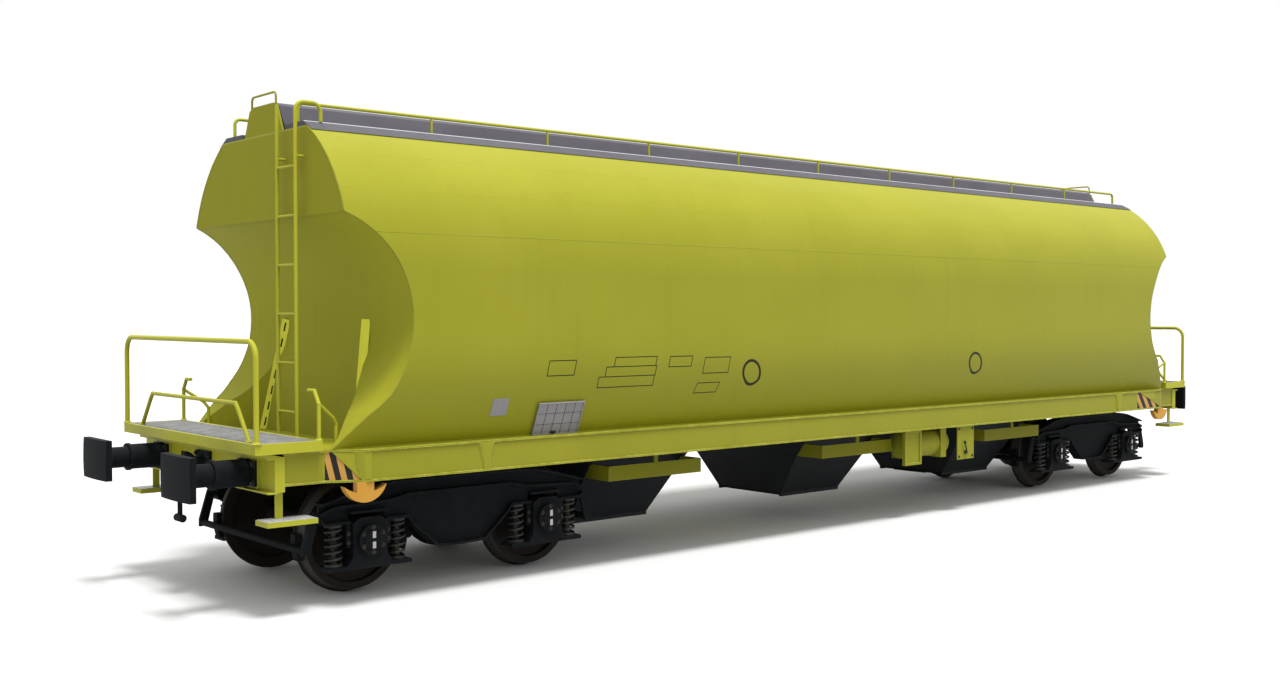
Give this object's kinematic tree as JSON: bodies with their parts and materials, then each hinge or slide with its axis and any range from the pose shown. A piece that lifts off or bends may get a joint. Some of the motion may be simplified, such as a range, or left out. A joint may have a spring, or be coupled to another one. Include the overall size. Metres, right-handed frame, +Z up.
{
  "type": "covered hopper railroad car",
  "caption": "Four-axle covered hopper car for grain with rounded yellow sides, black outlet hoppers, a long roof lid, end platforms and two sprung bogies.",
  "frame": {"origin": "middle of the car at the lowest point of the wheel flanges", "axes": "X along the car with end A at -X, Y across the car, Z up"},
  "size_m": [15.0996, 3, 4.1989],
  "materials": {
    "yellow_paint": "satin yellow body paint, lightly dusty",
    "black_paint": "dull black chassis paint",
    "grey_paint": "satin grey paint",
    "galvanised": "galvanised grating",
    "orange_paint": "satin orange paint",
    "plate_grey": "plain grey plate",
    "spring_steel": "blackened spring steel",
    "wheel_steel": "brown-black forged steel"
  },
  "bodies": {
    "car_body": {"side_sill_right": "yellow_paint", "side_sill_left": "yellow_paint", "headstocks": "yellow_paint", "bolsters": "black_paint", "floor_sheet": "yellow_paint", "side_sheet_right": "yellow_paint", "side_sheet_left": "yellow_paint", "shoulder_sheet_right": "yellow_paint", "shoulder_sheet_left": "yellow_paint", "roof_sheet": "yellow_paint", "end_sheet_a": "yellow_paint", "end_sheet_b": "yellow_paint", "hopper_1": "black_paint", "hopper_2": "black_paint", "hopper_3": "black_paint", "gate_frames": "yellow_paint", "walkways": "grey_paint", "roof_rails": "yellow_paint", "hatch_coaming": "yellow_paint", "ladders": "yellow_paint", "platform_frames": "yellow_paint", "deck_gratings": "galvanised", "end_rail_a": "yellow_paint", "end_rail_b": "yellow_paint", "side_handrails": "yellow_paint", "end_struts": "yellow_paint", "shunter_steps": "yellow_paint", "rope_hooks": "orange_paint", "buffers": "black_paint", "couplings": "black_paint", "data_plates": "plate_grey", "air_tank": "yellow_paint", "tank_hangers": "yellow_paint", "brake_panel": "yellow_paint"},
    "roof_lid": {"hatch_lid": "grey_paint"},
    "outlet_gate_1": {"gate_1": "black_paint"},
    "outlet_gate_2": {"gate_2": "black_paint"},
    "outlet_gate_3": {"gate_3": "black_paint"},
    "bogie_a": {"bogie_a_frame": "black_paint", "bogie_a_axleboxes": "black_paint", "bogie_a_springs": "spring_steel", "bogie_a_brakes": "black_paint"},
    "axle_a1": {"wheelset_a1": "wheel_steel"},
    "axle_a2": {"wheelset_a2": "wheel_steel"},
    "bogie_b": {"bogie_b_frame": "black_paint", "bogie_b_axleboxes": "black_paint", "bogie_b_springs": "spring_steel", "bogie_b_brakes": "black_paint"},
    "axle_b1": {"wheelset_b1": "wheel_steel"},
    "axle_b2": {"wheelset_b2": "wheel_steel"}
  },
  "joints": [
    {"name": "bogie_a_swivel", "type": "hinge", "parent": "car_body", "child": "bogie_a", "pos_m": [-5.1, 0, 0.86], "axis": [0, 0, 1], "range_deg": [-4, 4]},
    {"name": "axle_a1_turn", "type": "hinge", "parent": "bogie_a", "child": "axle_a1", "pos_m": [-6, 0, 0.488], "axis": [0, 1, 0], "continuous": true},
    {"name": "axle_a2_turn", "type": "hinge", "parent": "bogie_a", "child": "axle_a2", "pos_m": [-4.2, 0, 0.488], "axis": [0, 1, 0], "continuous": true},
    {"name": "bogie_b_swivel", "type": "hinge", "parent": "car_body", "child": "bogie_b", "pos_m": [5.1, 0, 0.86], "axis": [0, 0, 1], "range_deg": [-4, 4]},
    {"name": "axle_b1_turn", "type": "hinge", "parent": "bogie_b", "child": "axle_b1", "pos_m": [4.2, 0, 0.488], "axis": [0, 1, 0], "continuous": true},
    {"name": "axle_b2_turn", "type": "hinge", "parent": "bogie_b", "child": "axle_b2", "pos_m": [6, 0, 0.488], "axis": [0, 1, 0], "continuous": true},
    {"name": "roof_lid_hinge", "type": "hinge", "parent": "car_body", "child": "roof_lid", "pos_m": [0, 0.382, 3.88], "axis": [-1, 0, 0], "range_deg": [0, 85]},
    {"name": "gate_1_slide", "type": "slide", "parent": "car_body", "child": "outlet_gate_1", "axis": [1, 0, 0], "range_m": [0, 0.45]},
    {"name": "gate_2_slide", "type": "slide", "parent": "car_body", "child": "outlet_gate_2", "axis": [1, 0, 0], "range_m": [0, 0.45]},
    {"name": "gate_3_slide", "type": "slide", "parent": "car_body", "child": "outlet_gate_3", "axis": [-1, 0, 0], "range_m": [0, 0.45]}
  ]
}
